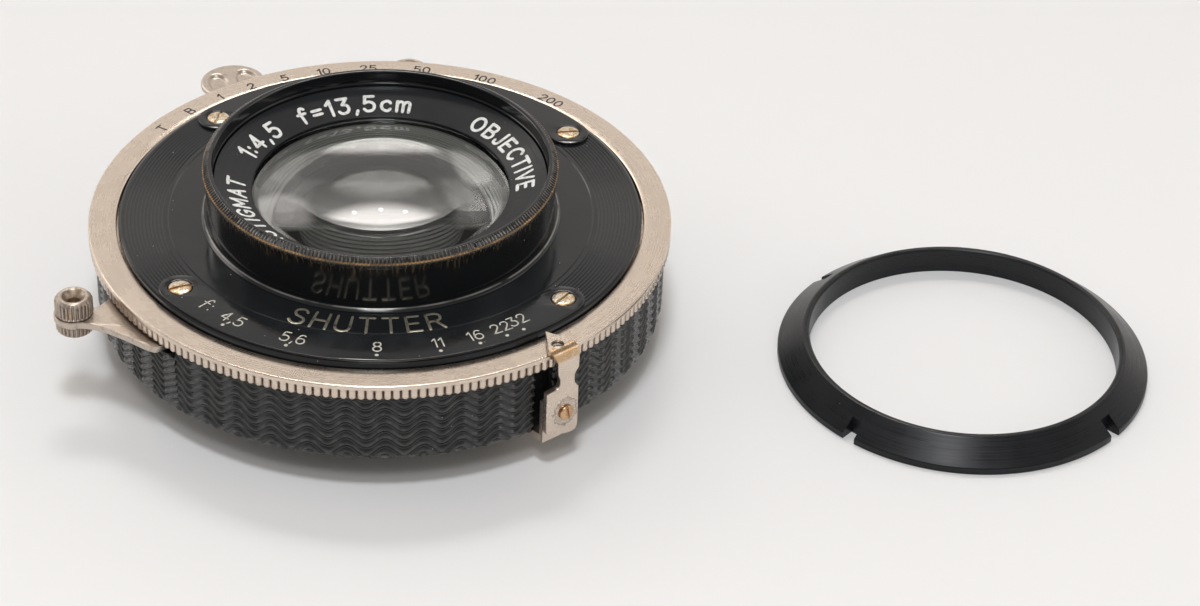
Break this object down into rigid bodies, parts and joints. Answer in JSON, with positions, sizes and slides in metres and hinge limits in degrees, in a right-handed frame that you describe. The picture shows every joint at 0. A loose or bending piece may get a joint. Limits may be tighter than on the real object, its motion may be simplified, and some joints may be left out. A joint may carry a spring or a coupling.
{
  "type": "leaf shutter with lens",
  "caption": "Rim-set leaf shutter carrying a four-element lens, with a turned speed ring, aperture pointer, cocking and release levers and a loose retaining ring.",
  "frame": {"origin": "on the optical axis, in the plane of the rear tube's end, which the part rests on", "axes": "+Z along the optical axis, out of the front element; +X towards the loose retaining ring; the aperture scale faces -Y"},
  "size_m": [0.1376, 0.079, 0.024],
  "materials": {
    "black_enamel": "semi-gloss black enamel",
    "wave_band": "embossed black enamel",
    "black_matt": "matt black",
    "retaining_black": "satin black",
    "nickel": "satin nickel plate, a little worn",
    "brass": "satin",
    "steel": "satin",
    "blued_steel": "blued",
    "glass": "polished, uncoated"
  },
  "bodies": {
    "shutter_body": {"rear_housing": "black_enamel", "wave_band": "wave_band", "mechanism_plate": "brass", "face_plate": "black_enamel", "front_scale_plate": "black_enamel", "rear_scale_plate": "black_enamel", "face_screw_1": "brass", "face_screw_2": "brass", "face_screw_3": "brass", "face_screw_4": "brass", "cell_collar": "black_enamel", "front_barrel": "black_enamel", "name_ring": "black_matt", "front_element": "glass", "second_element": "glass", "second_element_ring": "black_matt", "rear_barrel": "black_matt", "rear_inner_element": "glass", "rear_outer_element": "glass", "rear_element_ring": "black_matt", "release_spring": "blued_steel", "main_spring": "blued_steel", "cable_socket": "nickel", "retard_pallet": "steel"},
    "speed_ring": {"speed_ring": "nickel"},
    "aperture_setting": {"aperture_ring": "steel", "aperture_arm": "nickel", "aperture_pointer": "nickel", "aperture_screw": "brass"},
    "cocking": {"cocking_lever": "nickel", "cocking_knob": "nickel"},
    "release": {"release_lever": "nickel", "release_pad": "nickel"},
    "blade_ring": {"blade_ring": "steel"},
    "retard_sector": {"retard_sector": "brass"},
    "retard_pinion": {"retard_pinion": "steel"},
    "retaining_ring": {"retaining_ring": "retaining_black"},
    "iris_blade_1": {"iris_blade_1": "steel"},
    "iris_blade_2": {"iris_blade_2": "steel"},
    "iris_blade_3": {"iris_blade_3": "steel"},
    "iris_blade_4": {"iris_blade_4": "steel"},
    "iris_blade_5": {"iris_blade_5": "steel"},
    "iris_blade_6": {"iris_blade_6": "steel"},
    "iris_blade_7": {"iris_blade_7": "steel"},
    "iris_blade_8": {"iris_blade_8": "steel"},
    "iris_blade_9": {"iris_blade_9": "steel"},
    "iris_blade_10": {"iris_blade_10": "steel"},
    "shutter_blade_1": {"shutter_blade_1": "blued_steel"},
    "shutter_blade_2": {"shutter_blade_2": "blued_steel"},
    "shutter_blade_3": {"shutter_blade_3": "blued_steel"},
    "shutter_blade_4": {"shutter_blade_4": "blued_steel"},
    "shutter_blade_5": {"shutter_blade_5": "blued_steel"}
  },
  "joints": [
    {"name": "speed_ring_turn", "type": "hinge", "parent": "shutter_body", "child": "speed_ring", "pos_m": [0, 0, 0.015], "axis": [0, 0, 1], "range_deg": [-60, 37]},
    {"name": "aperture_turn", "type": "hinge", "parent": "shutter_body", "child": "aperture_setting", "pos_m": [0, 0, 0.01], "axis": [0, 0, 1], "range_deg": [-72.6, 0]},
    {"name": "cocking_turn", "type": "hinge", "parent": "shutter_body", "child": "cocking", "pos_m": [0, 0, 0.013], "axis": [0, 0, 1], "range_deg": [-35, 0], "stiffness_Nm_per_rad": 0.02, "springref_deg": 17.19},
    {"name": "release_turn", "type": "hinge", "parent": "shutter_body", "child": "release", "pos_m": [-0.01105, 0.02735, 0.013], "axis": [0, 0, 1], "range_deg": [0, 8], "stiffness_Nm_per_rad": 0.02, "springref_deg": -5.73},
    {"name": "blade_ring_turn", "type": "hinge", "parent": "shutter_body", "child": "blade_ring", "pos_m": [0, 0, 0.0103], "axis": [0, 0, 1], "range_deg": [0, 12], "stiffness_Nm_per_rad": 0.01, "springref_deg": -5.73},
    {"name": "retard_sector_turn", "type": "hinge", "parent": "shutter_body", "child": "retard_sector", "pos_m": [0.02938, 0.00103, 0.0113], "axis": [0, 0, 1], "range_deg": [-12, 12]},
    {"name": "retard_pinion_turn", "type": "hinge", "parent": "shutter_body", "child": "retard_pinion", "pos_m": [0.02791, 0.00935, 0.0113], "axis": [0, 0, 1], "range_deg": [-32, 32]},
    {"name": "iris_blade_1_turn", "type": "hinge", "parent": "shutter_body", "child": "iris_blade_1", "pos_m": [0.0237, 0, 0.0074], "axis": [0, 0, 1], "range_deg": [-30.38, 0.3]},
    {"name": "iris_blade_2_turn", "type": "hinge", "parent": "shutter_body", "child": "iris_blade_2", "pos_m": [0.01917, 0.01393, 0.0074], "axis": [0, 0, 1], "range_deg": [-30.38, 0.3]},
    {"name": "iris_blade_3_turn", "type": "hinge", "parent": "shutter_body", "child": "iris_blade_3", "pos_m": [0.00732, 0.02254, 0.0074], "axis": [0, 0, 1], "range_deg": [-30.38, 0.3]},
    {"name": "iris_blade_4_turn", "type": "hinge", "parent": "shutter_body", "child": "iris_blade_4", "pos_m": [-0.00732, 0.02254, 0.0074], "axis": [0, 0, 1], "range_deg": [-30.38, 0.3]},
    {"name": "iris_blade_5_turn", "type": "hinge", "parent": "shutter_body", "child": "iris_blade_5", "pos_m": [-0.01917, 0.01393, 0.0074], "axis": [0, 0, 1], "range_deg": [-30.38, 0.3]},
    {"name": "iris_blade_6_turn", "type": "hinge", "parent": "shutter_body", "child": "iris_blade_6", "pos_m": [-0.0237, 0, 0.0074], "axis": [0, 0, 1], "range_deg": [-30.38, 0.3]},
    {"name": "iris_blade_7_turn", "type": "hinge", "parent": "shutter_body", "child": "iris_blade_7", "pos_m": [-0.01917, -0.01393, 0.0074], "axis": [0, 0, 1], "range_deg": [-30.38, 0.3]},
    {"name": "iris_blade_8_turn", "type": "hinge", "parent": "shutter_body", "child": "iris_blade_8", "pos_m": [-0.00732, -0.02254, 0.0074], "axis": [0, 0, 1], "range_deg": [-30.38, 0.3]},
    {"name": "iris_blade_9_turn", "type": "hinge", "parent": "shutter_body", "child": "iris_blade_9", "pos_m": [0.00732, -0.02254, 0.0074], "axis": [0, 0, 1], "range_deg": [-30.38, 0.3]},
    {"name": "iris_blade_10_turn", "type": "hinge", "parent": "shutter_body", "child": "iris_blade_10", "pos_m": [0.01917, -0.01393, 0.0074], "axis": [0, 0, 1], "range_deg": [-30.38, 0.3]},
    {"name": "shutter_blade_1_turn", "type": "hinge", "parent": "shutter_body", "child": "shutter_blade_1", "pos_m": [0.02128, 0.01546, 0.0094], "axis": [0, 0, 1], "range_deg": [-35.49, 0.3]},
    {"name": "shutter_blade_2_turn", "type": "hinge", "parent": "shutter_body", "child": "shutter_blade_2", "pos_m": [-0.00813, 0.02501, 0.0094], "axis": [0, 0, 1], "range_deg": [-35.49, 0.3]},
    {"name": "shutter_blade_3_turn", "type": "hinge", "parent": "shutter_body", "child": "shutter_blade_3", "pos_m": [-0.0263, 0, 0.0094], "axis": [0, 0, 1], "range_deg": [-35.49, 0.3]},
    {"name": "shutter_blade_4_turn", "type": "hinge", "parent": "shutter_body", "child": "shutter_blade_4", "pos_m": [-0.00813, -0.02501, 0.0094], "axis": [0, 0, 1], "range_deg": [-35.49, 0.3]},
    {"name": "shutter_blade_5_turn", "type": "hinge", "parent": "shutter_body", "child": "shutter_blade_5", "pos_m": [0.02128, -0.01546, 0.0094], "axis": [0, 0, 1], "range_deg": [-35.49, 0.3]},
    {"name": "retaining_ring_lift", "type": "slide", "parent": "shutter_body", "child": "retaining_ring", "axis": [0, 0, 1], "range_m": [0, 0.03]}
  ],
  "couplings": [
    {"joint": "retard_pinion_turn", "follows": "retard_sector_turn", "ratio": -2.5},
    {"joint": "iris_blade_1_turn", "follows": "aperture_turn", "ratio": 0.41433},
    {"joint": "iris_blade_2_turn", "follows": "aperture_turn", "ratio": 0.41433},
    {"joint": "iris_blade_3_turn", "follows": "aperture_turn", "ratio": 0.41433},
    {"joint": "iris_blade_4_turn", "follows": "aperture_turn", "ratio": 0.41433},
    {"joint": "iris_blade_5_turn", "follows": "aperture_turn", "ratio": 0.41433},
    {"joint": "iris_blade_6_turn", "follows": "aperture_turn", "ratio": 0.41433},
    {"joint": "iris_blade_7_turn", "follows": "aperture_turn", "ratio": 0.41433},
    {"joint": "iris_blade_8_turn", "follows": "aperture_turn", "ratio": 0.41433},
    {"joint": "iris_blade_9_turn", "follows": "aperture_turn", "ratio": 0.41433},
    {"joint": "iris_blade_10_turn", "follows": "aperture_turn", "ratio": 0.41433},
    {"joint": "shutter_blade_1_turn", "follows": "blade_ring_turn", "ratio": -2.9324},
    {"joint": "shutter_blade_2_turn", "follows": "blade_ring_turn", "ratio": -2.9324},
    {"joint": "shutter_blade_3_turn", "follows": "blade_ring_turn", "ratio": -2.9324},
    {"joint": "shutter_blade_4_turn", "follows": "blade_ring_turn", "ratio": -2.9324},
    {"joint": "shutter_blade_5_turn", "follows": "blade_ring_turn", "ratio": -2.9324}
  ]
}
